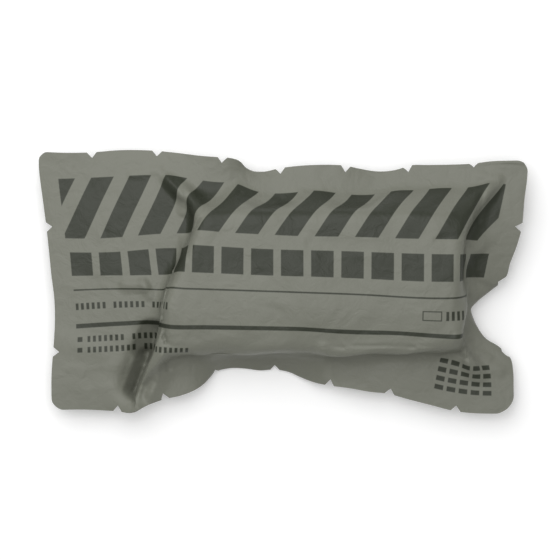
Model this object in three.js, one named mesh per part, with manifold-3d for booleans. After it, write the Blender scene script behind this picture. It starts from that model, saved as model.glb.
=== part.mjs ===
import * as THREE from "three";
import { mergeVertices } from "three/addons/utils/BufferGeometryUtils.js";
import Module from "manifold-3d";

// Emergency trauma bandage, vacuum packed in a pouch of two films sealed together all round.
// The compressed roll fills the middle of the pouch. The front film wraps its upper side and
// the back film its lower side, and both run out flat into the notched seal.
// Units are millimetres. +X runs along the pouch, +Y across it and +Z out of its front.
// The origin is the bottom centre of the bounding box, where the pouch lies on its back film.

const wasm = await Module();
wasm.setup();

// The compressed roll
const rollLength = 112; // along its middle
const rollWidth = 55;
const rollThickness = 24;
const rollLeftLean = 11; // how much further the left end reaches at its lower corner
const rollCornerRadius = 7;
const rollEdgeRadius = 5; // how far in from its outline the roll's faces round down

// The pouch round the roll: how far the film reaches past each side of the roll
const tabLeft = 51.2;
const tabRight = 25.4;
const tabTop = 22.2;
const tabBottom = 24.4;
const filmWall = 1;
const filmGap = 0.3; // clearance of the films to each other and to the roll
const sealHeight = 10.5; // level of the seal's middle above the surface
const sealWidth = 7; // band along the edge that no fold reaches
const sealMargin = 2.5; // narrowest stretch at the edge where the films always meet
const skirtRun = 13; // most that the film takes to come down from the roll to the seal
const notchWidth = 4;
const notchDepth = 2.2;
const cornerTopLeft = 4;
const cornerTopRight = 4;
const cornerBottomRight = 9;
const cornerBottomLeft = 5.5;

const pouchLength = tabLeft + rollLength + tabRight;
const pouchWidth = tabTop + rollWidth + tabBottom;

// The pouch's edges as the vacuum draws them in. `along` is a share of the side, left to right
// or top to bottom, and `inset` a share of that side's tab. `notch` marks a V cut for tearing.
const topEdge = [
  { along: 0, inset: 0.087 },
  { along: 0.108, inset: 0.042, notch: true },
  { along: 0.166, inset: 0.009 },
  { along: 0.242, inset: 0.02, notch: true },
  { along: 0.33, inset: 0.109 },
  { along: 0.376, inset: 0.148, notch: true },
  { along: 0.408, inset: 0.185 },
  { along: 0.425, inset: 0.315 },
  { along: 0.456, inset: 0.38 },
  { along: 0.493, inset: 0.34, notch: true },
  { along: 0.53, inset: 0.278 },
  { along: 0.574, inset: 0.264 },
  { along: 0.628, inset: 0.287, notch: true },
  { along: 0.697, inset: 0.376 },
  { along: 0.753, inset: 0.305, notch: true },
  { along: 0.79, inset: 0.264 },
  { along: 0.889, inset: 0.236, notch: true },
  { along: 0.921, inset: 0.203 },
  { along: 1, inset: 0.199 },
];
const rightEdge = [
  { along: 0.0435, inset: 0 },
  { along: 0.191, inset: 0.061 },
  { along: 0.295, inset: 0.104, notch: true },
  { along: 0.335, inset: 0.118 },
  { along: 0.468, inset: 0.32 },
  { along: 0.498, inset: 0.386, notch: true },
  { along: 0.52, inset: 0.455 },
  { along: 0.559, inset: 0.705 },
  { along: 0.6, inset: 0.85 },
  { along: 0.65, inset: 0.8 },
  { along: 0.714, inset: 0.628 },
  { along: 0.762, inset: 0.37, notch: true },
  { along: 0.795, inset: 0.255 },
  { along: 0.873, inset: 0.212 },
  { along: 1, inset: 0.235 },
];
const bottomEdge = [
  { along: 0.028, inset: 0.07 },
  { along: 0.161, inset: 0.025, notch: true },
  { along: 0.184, inset: 0.017 },
  { along: 0.2214, inset: 0.124 },
  { along: 0.258, inset: 0.225, notch: true },
  { along: 0.309, inset: 0.323 },
  { along: 0.3378, inset: 0.466 },
  { along: 0.3555, inset: 0.69, notch: true },
  { along: 0.407, inset: 0.708 },
  { along: 0.452, inset: 0.67 },
  { along: 0.4827, inset: 0.688, notch: true },
  { along: 0.534, inset: 0.566 },
  { along: 0.594, inset: 0.441, notch: true },
  { along: 0.65, inset: 0.385 },
  { along: 0.716, inset: 0.308, notch: true },
  { along: 0.799, inset: 0.133 },
  { along: 0.852, inset: 0.04, notch: true },
  { along: 0.901, inset: 0 },
  { along: 0.97, inset: 0 },
];
const leftEdge = [
  { along: 0.02, inset: 0 },
  { along: 0.191, inset: 0.029 },
  { along: 0.294, inset: 0.058, notch: true },
  { along: 0.475, inset: 0.094 },
  { along: 0.6, inset: 0.12 },
  { along: 0.763, inset: 0.109, notch: true },
  { along: 0.84, inset: 0.097 },
  { along: 0.983, inset: 0.103 },
];

// Where the sealed sheet leaves its level. x and y are shares of the pouch from its upper left
// corner, `lift` a share of the seal's height and `reach` a share of the pouch's width.
const sheetLifts = [
  { name: "left tab sags", x: 0.06, y: 0.52, lift: -0.34, reach: 0.34 },
  { name: "upper left corner lifts", x: 0.0, y: 0.0, lift: 0.22, reach: 0.3 },
  { name: "lower left corner curls up", x: 0.02, y: 1.0, lift: 0.2, reach: 0.22 },
  { name: "lower edge hangs", x: 0.45, y: 0.87, lift: -0.42, reach: 0.26 },
  { name: "lower right corner sags", x: 1.0, y: 1.0, lift: -0.3, reach: 0.3 },
  { name: "upper right corner lifts", x: 1.0, y: 0.08, lift: 0.25, reach: 0.28 },
  { name: "right side pinches down", x: 0.9, y: 0.6, lift: -0.45, reach: 0.15 },
  { name: "upper edge ripples down", x: 0.25, y: 0.03, lift: -0.12, reach: 0.09 },
  { name: "upper edge steps down", x: 0.45, y: 0.06, lift: -0.2, reach: 0.12 },
  { name: "upper edge rolls up", x: 0.6, y: 0.06, lift: 0.14, reach: 0.14 },
];

// Folds of the front film. Each runs from one point to another, both shares of the pouch from
// its upper left corner, and adds a creased ridge, or a furrow where `rise` is negative.
// `rise` is a share of the roll's thickness and `spread`, to each side, of the pouch's width.
const frontFolds = [
  { name: "pleat at upper left corner", x0: 0.27, y0: 0.1, x1: 0.31, y1: 0.34, rise: -0.12, spread: 0.04 },
  { name: "crest beside that pleat", x0: 0.255, y0: 0.09, x1: 0.29, y1: 0.3, rise: 0.09, spread: 0.06 },
  { name: "pleat through upper face", x0: 0.3, y0: 0.26, x1: 0.305, y1: 0.45, rise: -0.05, spread: 0.035 },
  { name: "furrow off left end", x0: 0.19, y0: 0.49, x1: 0.26, y1: 0.6, rise: -0.06, spread: 0.05 },
  { name: "dart at lower left corner", x0: 0.265, y0: 0.64, x1: 0.19, y1: 0.94, rise: 0.16, spread: 0.09 },
  { name: "hollow beside the dart", x0: 0.27, y0: 0.72, x1: 0.235, y1: 0.9, rise: -0.1, spread: 0.05 },
  { name: "second dart", x0: 0.29, y0: 0.74, x1: 0.27, y1: 0.9, rise: 0.1, spread: 0.05 },
  { name: "left tab crease", x0: 0.1, y0: 0.86, x1: 0.2, y1: 0.8, rise: 0.04, spread: 0.07 },
  { name: "lip under lower side", x0: 0.31, y0: 0.785, x1: 0.54, y1: 0.74, rise: 0.06, spread: 0.035 },
  { name: "furrow over lower side", x0: 0.58, y0: 0.77, x1: 0.84, y1: 0.79, rise: -0.08, spread: 0.06 },
  { name: "furrow on upper side", x0: 0.55, y0: 0.36, x1: 0.72, y1: 0.365, rise: -0.03, spread: 0.06 },
  { name: "pleat at upper right corner", x0: 0.93, y0: 0.13, x1: 0.87, y1: 0.33, rise: -0.1, spread: 0.045 },
  { name: "crest at upper right corner", x0: 0.96, y0: 0.11, x1: 0.9, y1: 0.3, rise: 0.07, spread: 0.05 },
  { name: "pleat down right end", x0: 0.88, y0: 0.3, x1: 0.87, y1: 0.58, rise: -0.07, spread: 0.035 },
  { name: "pleat into right notch", x0: 0.94, y0: 0.46, x1: 0.86, y1: 0.56, rise: 0.08, spread: 0.05 },
  { name: "dent at lower right corner", x0: 0.85, y0: 0.71, x1: 0.87, y1: 0.78, rise: -0.12, spread: 0.05 },
  { name: "dart at lower right corner", x0: 0.86, y0: 0.75, x1: 0.93, y1: 0.82, rise: 0.1, spread: 0.05 },
  { name: "crease over the roll", x0: 0.36, y0: 0.62, x1: 0.46, y1: 0.54, rise: 0.025, spread: 0.07 },
];

// Folds of the back film, on the side that lies down. They run like the front ones.
const backFolds = [
  { name: "dart at upper left corner", x0: 0.29, y0: 0.24, x1: 0.2, y1: 0.1, rise: 0.09, spread: 0.08 },
  { name: "dart at lower left corner", x0: 0.28, y0: 0.74, x1: 0.22, y1: 0.92, rise: 0.09, spread: 0.08 },
  { name: "dart at upper right corner", x0: 0.86, y0: 0.26, x1: 0.94, y1: 0.14, rise: 0.08, spread: 0.07 },
  { name: "dart at lower right corner", x0: 0.86, y0: 0.76, x1: 0.93, y1: 0.86, rise: 0.08, spread: 0.07 },
];

// The grid that both films share, as stretches of equal cells. `to` is a share of the pouch.
const columns = [
  { to: 0.17, cells: 5 },
  { to: 0.33, cells: 10 },
  { to: 0.81, cells: 12 },
  { to: 0.96, cells: 9 },
  { to: 1, cells: 2 },
];
const rows = [
  { to: 0.1, cells: 2 },
  { to: 0.3, cells: 7 },
  { to: 0.68, cells: 7 },
  { to: 0.88, cells: 7 },
  { to: 1, cells: 2 },
];

const clamp01 = (value) => Math.min(1, Math.max(0, value));
const mix = (a, b, share) => a + (b - a) * share;

// Pouch coordinates run from the upper left corner, as in the tables. They become row ones here.
const left = -pouchLength / 2;
const top = pouchWidth / 2;
const atShare = (x, y) => new THREE.Vector2(left + x * pouchLength, top - y * pouchWidth);

// Points along one side, with each notch cut as a V square to the edge, towards `inward`.
function sidePoints(table, place, inward) {
  const through = table.map((row) => place(row));
  const curve = new THREE.CatmullRomCurve3(
    through.map((p) => new THREE.Vector3(p.x, p.y, 0)),
    false,
    "centripetal",
  );
  const notches = through.filter((p, i) => table[i].notch);
  const isClear = (p) => notches.every((notch) => p.distanceTo(notch) > 0.7 * notchWidth);
  const spans = table.length - 1;
  const points = [];
  table.forEach((row, i) => {
    const here = through[i];
    if (row.notch) {
      const tangent = curve.getTangent(i / spans);
      const half = new THREE.Vector2(tangent.x, tangent.y).multiplyScalar(notchWidth / 2);
      const square = new THREE.Vector2(-half.y, half.x).setLength(notchDepth);
      if (square.dot(inward) < 0) square.negate();
      points.push(here.clone().sub(half));
      points.push(here.clone().add(square));
      points.push(here.clone().add(half));
    } else if (isClear(here)) points.push(here);
    if (i === spans) return;
    const middle = curve.getPoint((i + 0.5) / spans);
    const between = new THREE.Vector2(middle.x, middle.y);
    if (isClear(between)) points.push(between);
  });
  return points;
}

// The closed outline as a shape, its four corners rounded.
function pouchShape() {
  const sides = [
    sidePoints(
      topEdge,
      ({ along, inset }) => new THREE.Vector2(left + along * pouchLength, top - inset * tabTop),
      new THREE.Vector2(0, -1),
    ),
    sidePoints(
      rightEdge,
      ({ along, inset }) => new THREE.Vector2(-left - inset * tabRight, top - along * pouchWidth),
      new THREE.Vector2(-1, 0),
    ),
    sidePoints(
      bottomEdge,
      ({ along, inset }) => new THREE.Vector2(left + along * pouchLength, -top + inset * tabBottom),
      new THREE.Vector2(0, 1),
    ).reverse(),
    sidePoints(
      leftEdge,
      ({ along, inset }) => new THREE.Vector2(left + inset * tabLeft, top - along * pouchWidth),
      new THREE.Vector2(1, 0),
    ).reverse(),
  ];
  const radii = [cornerTopRight, cornerBottomRight, cornerBottomLeft, cornerTopLeft];
  const shape = new THREE.Shape();
  sides.forEach((side, i) => {
    const next = sides[(i + 1) % sides.length];
    const before = radii[(i + radii.length - 1) % radii.length];
    const after = radii[i];
    const first = side[0];
    const last = side[side.length - 1];
    const corner = last.clone().add(next[0]).multiplyScalar(0.5);
    const kept = side.filter((p) => p.distanceTo(first) > before && p.distanceTo(last) > after);
    const start = towards(first, kept[0], before);
    if (i === 0) shape.moveTo(start.x, start.y);
    else shape.lineTo(start.x, start.y);
    kept.forEach((p) => shape.lineTo(p.x, p.y));
    const end = towards(last, kept[kept.length - 1], after);
    const away = towards(next[0], next.find((p) => p.distanceTo(next[0]) > after), after);
    shape.lineTo(end.x, end.y);
    shape.quadraticCurveTo(corner.x, corner.y, away.x, away.y);
  });
  return shape;
}

const towards = (from, to, distance) =>
  from.clone().add(to.clone().sub(from).setLength(distance));

// The roll's outline seen from above, its left end leaning.
function rollShape() {
  const x0 = left + tabLeft - rollLeftLean / 2;
  const x1 = -left - tabRight;
  const y0 = top - tabTop;
  const y1 = -top + tabBottom;
  const corners = [
    new THREE.Vector2(x0 + rollLeftLean, y0),
    new THREE.Vector2(x1, y0),
    new THREE.Vector2(x1, y1),
    new THREE.Vector2(x0, y1),
  ];
  const shape = new THREE.Shape();
  corners.forEach((corner, i) => {
    const from = towards(corner, corners[(i + 3) % 4], rollCornerRadius);
    const to = towards(corner, corners[(i + 1) % 4], rollCornerRadius);
    if (i === 0) shape.moveTo(from.x, from.y);
    else shape.lineTo(from.x, from.y);
    shape.quadraticCurveTo(corner.x, corner.y, to.x, to.y);
  });
  return shape;
}

const curveSteps = 3;
const pouchOutline = polygonOf(pouchShape());
const rollOutline = polygonOf(rollShape());

// A shape's points once round, without repeats.
function polygonOf(shape) {
  const points = shape.getPoints(curveSteps);
  return points.filter((p, i) => p.distanceTo(points[(i + 1) % points.length]) > 1e-3);
}

// Distance from a point to a polygon, negative inside it.
function signedDistance(polygon, x, y) {
  let nearest = Infinity;
  let inside = false;
  polygon.forEach((a, i) => {
    const b = polygon[(i + 1) % polygon.length];
    const along = clamp01(
      ((x - a.x) * (b.x - a.x) + (y - a.y) * (b.y - a.y)) / a.distanceToSquared(b),
    );
    nearest = Math.min(nearest, Math.hypot(x - mix(a.x, b.x, along), y - mix(a.y, b.y, along)));
    const crosses = a.y > y !== b.y > y;
    if (crosses && x < a.x + ((y - a.y) * (b.x - a.x)) / (b.y - a.y)) inside = !inside;
  });
  return inside ? -nearest : nearest;
}

// Level of the sealed sheet, where the two films would meet, no lower than it can lie.
function sheetLevel(x, y) {
  const level = sheetLifts.reduce((sum, bump) => {
    const centre = atShare(bump.x, bump.y);
    const apart = Math.hypot(x - centre.x, y - centre.y) / (bump.reach * pouchWidth);
    return sum + bump.lift * sealHeight * Math.exp(-apart * apart);
  }, sealHeight);
  return Math.max(filmWall + filmGap, level);
}

// How far the film is up on the roll: 1 on its face, 0 where it has come down to the sheet.
function wrapShare(x, y) {
  const fromRoll = signedDistance(rollOutline, x, y);
  const fromEdge = Math.max(0, -signedDistance(pouchOutline, x, y));
  const room = Math.max(0, fromRoll) + fromEdge - sealMargin;
  const run = Math.max(rollEdgeRadius / 2, Math.min(skirtRun, room));
  const share = clamp01((fromRoll + rollEdgeRadius) / (run + rollEdgeRadius));
  const shoulder = rollEdgeRadius / (run + rollEdgeRadius);
  const rounded = share < shoulder ? (share * share) / shoulder : 2 * share - shoulder;
  return clamp01(1 - rounded / (2 - shoulder));
}

// What the folds in a table add at a point.
function foldRise(folds, x, y) {
  return folds.reduce((sum, fold) => {
    const a = atShare(fold.x0, fold.y0);
    const b = atShare(fold.x1, fold.y1);
    const along = clamp01(
      ((x - a.x) * (b.x - a.x) + (y - a.y) * (b.y - a.y)) / a.distanceToSquared(b),
    );
    const off = Math.hypot(x - mix(a.x, b.x, along), y - mix(a.y, b.y, along));
    const crease = 1 - clamp01(off / (fold.spread * pouchWidth));
    const ends = Math.sqrt(Math.sin(Math.PI * mix(0.12, 0.88, along)));
    return sum + fold.rise * rollThickness * crease * crease * ends;
  }, 0);
}

// How freely a fold stands at a point: not at all in the seal, fully once well inside it.
function foldFreedom(x, y) {
  const fromEdge = -signedDistance(pouchOutline, x, y);
  return clamp01((fromEdge - sealWidth) / sealWidth);
}

// Inner faces of the two films.
function frontInner(x, y) {
  const sheet = sheetLevel(x, y) + filmGap / 2;
  const wrap = wrapShare(x, y);
  const face = filmWall + filmGap + rollThickness + filmGap;
  const freed = clamp01(2 * wrap + foldFreedom(x, y));
  return Math.max(sheet, mix(sheet, face, wrap) + foldRise(frontFolds, x, y) * freed);
}
function backInner(x, y) {
  const sheet = sheetLevel(x, y) - filmGap / 2;
  const wrap = wrapShare(x, y);
  const hang = foldRise(backFolds, x, y) * clamp01(3 * wrap) * (1 - wrap);
  return Math.max(filmWall, Math.min(sheet, mix(sheet, filmWall, wrap) - hang));
}

// Faces of the roll, a clearance inside the films. Beyond the roll they run thin between them.
const between = (x, y) => (frontInner(x, y) + backInner(x, y)) / 2;
const rollUpper = (x, y) => Math.max(frontInner(x, y) - filmGap, between(x, y) + filmGap / 4);
const rollLower = (x, y) => Math.min(backInner(x, y) + filmGap, between(x, y) - filmGap / 4);

// The wall measured upright, thicker where the film is steep, up to a limit.
const steepest = 1.8;
const slopeStep = 0.5;
function uprightWall(inner, x, y) {
  const dx = (inner(x + slopeStep, y) - inner(x - slopeStep, y)) / (2 * slopeStep);
  const dy = (inner(x, y + slopeStep) - inner(x, y - slopeStep)) / (2 * slopeStep);
  return filmWall * Math.min(steepest, Math.hypot(1, dx, dy));
}
const frontOuter = (x, y) => frontInner(x, y) + uprightWall(frontInner, x, y);
const backOuter = (x, y) => Math.max(0, backInner(x, y) - uprightWall(backInner, x, y));

// Grid lines from a table of stretches, reaching a little past the pouch at both ends.
function gridLines(stretches, from, length) {
  const lines = [from - Math.sign(length) * filmWall];
  let done = 0;
  for (const { to, cells } of stretches) {
    for (let i = 1; i <= cells; i++) lines.push(from + mix(done, to, i / cells) * length);
    done = to;
  }
  lines[lines.length - 1] += Math.sign(length) * filmWall;
  return lines;
}
const xLines = gridLines(columns, left, pouchLength);
const yLines = gridLines(rows, top, -pouchWidth).reverse();

// A closed solid between two height functions over the whole grid.
function slab(lower, upper) {
  const across = xLines.length;
  const up = yLines.length;
  const positions = [];
  for (const surface of [lower, upper])
    for (const y of yLines) for (const x of xLines) positions.push(x, y, surface(x, y));
  const layer = across * up;
  const triangles = [];
  const quad = (a, b, c, d) => triangles.push(a, b, c, a, c, d);
  for (let j = 0; j < up - 1; j++)
    for (let i = 0; i < across - 1; i++) {
      const a = j * across + i;
      const b = a + 1;
      const c = a + across + 1;
      const d = a + across;
      quad(layer + a, layer + b, layer + c, layer + d);
      quad(a, d, c, b);
    }
  for (let i = 0; i < across - 1; i++) {
    const far = (up - 1) * across + i;
    quad(i, i + 1, layer + i + 1, layer + i);
    quad(far + 1, far, layer + far, layer + far + 1);
  }
  for (let j = 0; j < up - 1; j++) {
    const near = j * across;
    const far = near + across - 1;
    quad(near + across, near, layer + near, layer + near + across);
    quad(far, far + across, layer + far + across, layer + far);
  }
  const geometry = new THREE.BufferGeometry();
  geometry.setAttribute("position", new THREE.Float32BufferAttribute(positions, 3));
  geometry.setIndex(triangles);
  return geometry;
}

// An upright prism over an outline, taller than the pouch.
function prism(outline) {
  const tall = 4 * (sealHeight + rollThickness);
  const geometry = new THREE.ExtrudeGeometry(new THREE.Shape(outline), {
    depth: tall,
    bevelEnabled: false,
  });
  return geometry.translate(0, 0, -tall / 2);
}

function toSolid(geometry) {
  const plain = geometry.clone();
  plain.deleteAttribute("normal");
  plain.deleteAttribute("uv");
  const merged = mergeVertices(plain, 1e-4);
  return new wasm.Manifold(
    new wasm.Mesh({
      numProp: 3,
      vertProperties: merged.attributes.position.array,
      triVerts: new Uint32Array(merged.index.array),
    }),
  );
}

function toGeometry(solid) {
  const mesh = solid.getMesh();
  const geometry = new THREE.BufferGeometry();
  geometry.setAttribute("position", new THREE.Float32BufferAttribute(mesh.vertProperties, 3));
  geometry.setIndex(new THREE.Uint32BufferAttribute(mesh.triVerts, 1));
  geometry.computeVertexNormals();
  return geometry;
}

const film = new THREE.MeshStandardMaterial({ color: 0x80817a, roughness: 0.5, metalness: 0.05 });
const gauze = new THREE.MeshStandardMaterial({ color: 0x6b6d57, roughness: 0.95, metalness: 0 });

function piece(name, lower, upper, outline, material) {
  const cut = toSolid(slab(lower, upper)).intersect(toSolid(prism(outline)));
  const mesh = new THREE.Mesh(toGeometry(cut), material);
  mesh.name = name;
  return mesh;
}

const bandage = new THREE.Group();
bandage.add(
  piece("front_film", frontInner, frontOuter, pouchOutline, film),
  piece("back_film", backOuter, backInner, pouchOutline, film),
  piece("bandage_roll", rollLower, rollUpper, rollOutline, gauze),
);

export default bandage;
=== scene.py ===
import math

import bmesh
import bpy
import numpy as np
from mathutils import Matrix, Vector


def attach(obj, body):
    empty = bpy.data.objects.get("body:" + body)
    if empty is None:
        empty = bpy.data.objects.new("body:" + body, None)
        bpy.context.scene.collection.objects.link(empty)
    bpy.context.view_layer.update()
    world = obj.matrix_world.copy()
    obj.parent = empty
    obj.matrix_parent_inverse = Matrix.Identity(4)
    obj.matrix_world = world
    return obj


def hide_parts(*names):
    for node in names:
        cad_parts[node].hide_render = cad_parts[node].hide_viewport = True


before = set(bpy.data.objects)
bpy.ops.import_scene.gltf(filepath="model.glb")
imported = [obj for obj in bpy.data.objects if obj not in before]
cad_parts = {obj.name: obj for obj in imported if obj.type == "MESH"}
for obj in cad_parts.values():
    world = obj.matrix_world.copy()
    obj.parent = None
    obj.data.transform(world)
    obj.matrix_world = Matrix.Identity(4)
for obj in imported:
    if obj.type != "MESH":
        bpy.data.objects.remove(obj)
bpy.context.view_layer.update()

# An emergency bandage, vacuum packed in a pouch of two laminate films. Each film keeps to the
# lengths of a flat sheet while a position based simulation draws it over the roll, with its edge
# held along the pouch's outline. The simulation works in millimetres, and the meshes are in metres.
# +X runs along the pouch, +Y across it, towards the upper edge of its print, and +Z out of it.

MM = 0.001
PIXEL = 0.385  # millimetres of the pouch that one pixel of the photograph covers
PHOTO_MIDDLE = (283.5, 281.5)  # the pixel above the row's origin

# The flat film, in the photograph's pixels at the same scale
FILM_LENGTH = 508.0
FILM_WIDTH = 270.0
LOWER_SPREAD = 0.02  # how much longer the film's lower edge is than its upper edge
LEFT_TUCK = 8.5  # how much shorter its left end is between the band and the thick rule
CORNER_RADII = {"upper_left": 10, "upper_right": 13, "lower_left": 13, "lower_right": 20}
NOTCH_WIDTH = 10.0
NOTCH_DEPTH = 6.0
NOTCHES_ALONG = 7
TOP_NOTCHES = [53.5 + 66.2 * i for i in range(NOTCHES_ALONG)]
BOTTOM_NOTCHES = [65 + 64.2 * i for i in range(NOTCHES_ALONG)]
LEFT_NOTCHES = [75, 208]
RIGHT_NOTCHES = [67, 133, 205]

# Where the vacuum draws the film's four edges. Columns: x and y in the photograph, level in
# millimetres above the surface, and the place along the flat film's edge where it is known.
TOP_EDGE = [
    (38.5, 151.5, 12, 0), (60, 152.6, 12, None), (91.5, 152.2, 11.5, 53.5),
    (120, 150, 11, None), (157, 150.8, 11.5, 119.7), (180, 153.2, 12.5, None),
    (200, 155.8, 13.8, None), (222.5, 157.8, 15, 185.9), (232, 158.8, 15, None),
    (240, 161.5, 14, None), (246, 167.5, 11.5, None), (252, 170.5, 10.2, None),
    (262, 171.5, 9.7, None), (280, 168, 10.2, 252.1), (300, 165.6, 11, None),
    (320, 164.7, 11.5, None), (346, 165.6, 11, 318.3), (360, 168.5, 10, None),
    (380, 171.2, 9, None), (400, 168.6, 10, None), (407.5, 165.8, 10.5, 384.5),
    (430, 164.8, 11, None), (450, 164.5, 11, None), (474, 163.4, 11.5, 450.7),
    (490, 161.3, 12, None), (510, 160.6, 13, None), (528.5, 160.5, 13.5, 508),
]
RIGHT_EDGE = [
    (528.5, 160.5, 13.5, 0), (527, 180, 13, None), (524.5, 200, 12.5, None),
    (522, 227.5, 12, 67), (518, 243, 11, None), (511, 262, 9.5, None), (503.5, 281, 8, 133),
    (490, 292, 6.5, None), (477, 303, 5, None), (472, 309, 4.5, 163), (474, 317, 4.5, None),
    (480, 330, 5.5, None), (486, 338, 6, None), (500, 347, 6.5, None), (507, 353.5, 7, 205),
    (511, 358, 7.2, None), (514, 372, 7.5, None), (514.3, 386, 8, None), (514.5, 400, 8.2, None),
    (514.5, 414, 8.5, 270),
]
BOTTOM_EDGE = [
    (51.5, 410.5, 10, 0), (80, 409.8, 9.4, None), (100, 410.5, 9.5, None), (117.5, 411.6, 10.5, 65),
    (127, 412.6, 13, None), (135, 411.2, 14.5, None), (145, 406.5, 12, None),
    (155, 402.5, 10.5, None), (165, 399.3, 10, 129.2), (180, 396, 9.5, None), (197, 389, 8, None),
    (205, 383, 6, None), (210, 377.5, 4.5, None), (214, 373.3, 3, 193.4),
    (228, 369, 1.5, None), (243, 369, 1.2, None), (260, 371, 1.2, None),
    (275, 370.2, 1.3, 257.6), (290, 373, 1.8, None), (300, 377.5, 3, None), (315, 383, 6, None),
    (329.5, 385.8, 8.5, 321.8), (350, 388.5, 10, None), (370, 392, 10.5, None),
    (389.5, 394.2, 10.5, 386), (405, 398.5, 10.4, None), (430, 405, 10.2, None),
    (456, 411.5, 9.8, 450.2), (470, 413.2, 9.4, None), (490, 414, 9, None), (514.5, 414, 8.5, 508),
]
LEFT_EDGE = [
    (38.5, 151.5, 12, 0), (38.7, 168, 11.5, None), (40.5, 185, 11, None), (42.5, 200, 10.5, None),
    (46, 227, 10.7, 75), (48, 245, 10.7, None), (51, 275, 10.4, None), (54, 300, 10.3, None),
    (54.5, 320, 10.3, None), (52.8, 352, 10.4, 208), (51.5, 368, 10.5, None),
    (51, 385, 10.4, None), (51.5, 410.5, 10, 270),
]

# Where places of the flat film end up in the photograph, read from the lines of its print.
# Columns: along and down the flat film, then x and y in the photograph, None where unknown.
BAND_TOP = 27
BAND_BOTTOM = 87
BLOCKS_MIDDLE = 115
THIN_RULE = 144
THICK_RULE = 182
ACROSS_GUIDES = [
    (94.4, BAND_BOTTOM, 138.3),
    (130, BAND_BOTTOM, 174), (141, BAND_BOTTOM, 185), (176, BAND_BOTTOM, 199),
    (183.2, BAND_BOTTOM, 206.8), (227.6, BAND_BOTTOM, 250.5), (272, BAND_BOTTOM, 294.9),
    (316.4, BAND_BOTTOM, 340.9), (360.8, BAND_BOTTOM, 385.6), (405.2, BAND_BOTTOM, 431.5),
    (436, BAND_BOTTOM, 462), (449.6, BAND_BOTTOM, 464), (484.5, BAND_BOTTOM, 490.5),
    (127.5, BLOCKS_MIDDLE, 172.5), (165, BLOCKS_MIDDLE, 188.5), (190, BLOCKS_MIDDLE, 214),
    (431, BLOCKS_MIDDLE, 456.5), (461, BLOCKS_MIDDLE, 464.5), (485.5, BLOCKS_MIDDLE, 485),
    (99, THIN_RULE, 151.5), (155, THIN_RULE, 178.5),
    (227.6, THIN_RULE, 250.8), (316.4, THIN_RULE, 341), (405.2, THIN_RULE, 431.2),
    (437, THIN_RULE, 462), (104, THICK_RULE, 155.5),
    (141, THICK_RULE, 165.5), (160, THICK_RULE, 184), (227.6, THICK_RULE, 250.8),
    (316.4, THICK_RULE, 341), (405.2, THICK_RULE, 431.2), (430, THICK_RULE, 456),
]
DOWN_GUIDES = {
    BAND_TOP: [(65, 179), (100, 177), (147, 173), (185, 178), (228, 182), (310, 189), (397, 188),
               (440, 186), (470, 184), (500, 181)],
    BAND_BOTTOM: [(85, 239.5), (100, 239), (130, 236), (155, 233), (240, 234), (318, 236),
                  (362, 237), (408, 239), (450, 241), (480, 244)],
    THIN_RULE: [(73, 290), (100, 288.5), (120, 288.5), (138, 291), (165, 288.5), (180, 287),
                (230, 290), (270, 291.5), (320, 293), (360, 295), (400, 297.5), (430, 299),
                (448, 299), (462, 296)],
    THICK_RULE: [(74, 325.5), (100, 324), (130, 322.5), (155, 322), (165, 324.5), (185, 326.5),
                 (210, 328), (290, 329), (330, 332), (390, 333.5), (430, 335.5), (455, 338)],
}
# How the photograph's x grows along the flat film, for the guides above that give y alone
ALONG_FILM = [0, 50, 94.4, 130, 141, 176, 183.2, 272, 360.8, 405.2, 436, 450, 484.5, 508]
ALONG_PHOTO = [47, 93.4, 137.8, 172, 180, 192, 204, 294.9, 385.6, 431.5, 461, 464.5, 490.5, 519]
TUCK_END = (85, 165)
GUIDE_REACH = 14.0
GUIDE_PULL = 0.25
GUIDE_REST = 0.3  # a weight that fades the pull out away from the guides

# The film is cut in where its right edge pinches: how deep, where along the edge and how wide
PINCH_DEPTH = 24.0
PINCH_AT = 163.0
PINCH_REACH = 22.0
PINCH_RUN = 60.0

# The compressed roll, its outline in the photograph and its faces in millimetres
ROLL_LEFT = {"y": (208, 232, 257, 285, 305, 320, 349), "x": (198, 187, 177, 163, 157, 157, 158)}
LEFT_RUN = 5.5  # over which the roll's left side slopes, and how far it falls there
LEFT_FALL = 11.0
ROLL_RIGHT = {"top": 466, "bottom": 458}
ROLL_TOP_EDGE = 208
ROLL_BOTTOM_EDGE = 353
ROLL_CORNER = 7.0  # radius in plan
ROLL_EDGE = 4.5  # radius of the edges round both faces
ROLL_FACE = 25.8
ROLL_UNDERSIDE = 0.45
ROLL_CROWN = 0.9  # how far the roll's face falls towards its outline, and over what run
CROWN_RUN = 20.0
ROLL_SLUMP = 3.4  # how far the roll's face falls towards its lower side, and from where
SLUMP_FROM = 292
SLUMP_PAST = 1.2  # how far the fall goes on past that side, as a share of its run
# Waves and a dip of its face: millimetres of rise or fall and of reach along x and y
BROAD_WAVE = {"rise": 0.45, "x": 9.3, "y": 11.0, "start": (0.7, 0.3)}
FINE_WAVE = {"rise": 0.3, "x": 5.1, "y": 8.0}
DIP = {"at": (340, 246), "fall": 0.7, "x": 14, "y": 3}
STAND_OFF = 0.4  # of the front film from the roll's face at the most
SEAL_LEVEL = 14.5  # at which the two films would meet through the roll

# The laminate. The seal runs in from the edge by its band and fades out past it.
FILM_WALL = 0.22
SEAL_BAND = 8.0
SEAL_FADE = 3.5
SEAL_HOLD = 0.5  # the share by which each step brings the front film to its level in the seal
WELD_GAP = 0.02
LOWEST = 0.05  # of the back film above the surface
FRONT_LOWEST = 3 * FILM_WALL


def place(x, y):
    """Millimetres in the row frame of a place in the photograph."""
    return (x - PHOTO_MIDDLE[0]) * PIXEL, (PHOTO_MIDDLE[1] - y) * PIXEL


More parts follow.
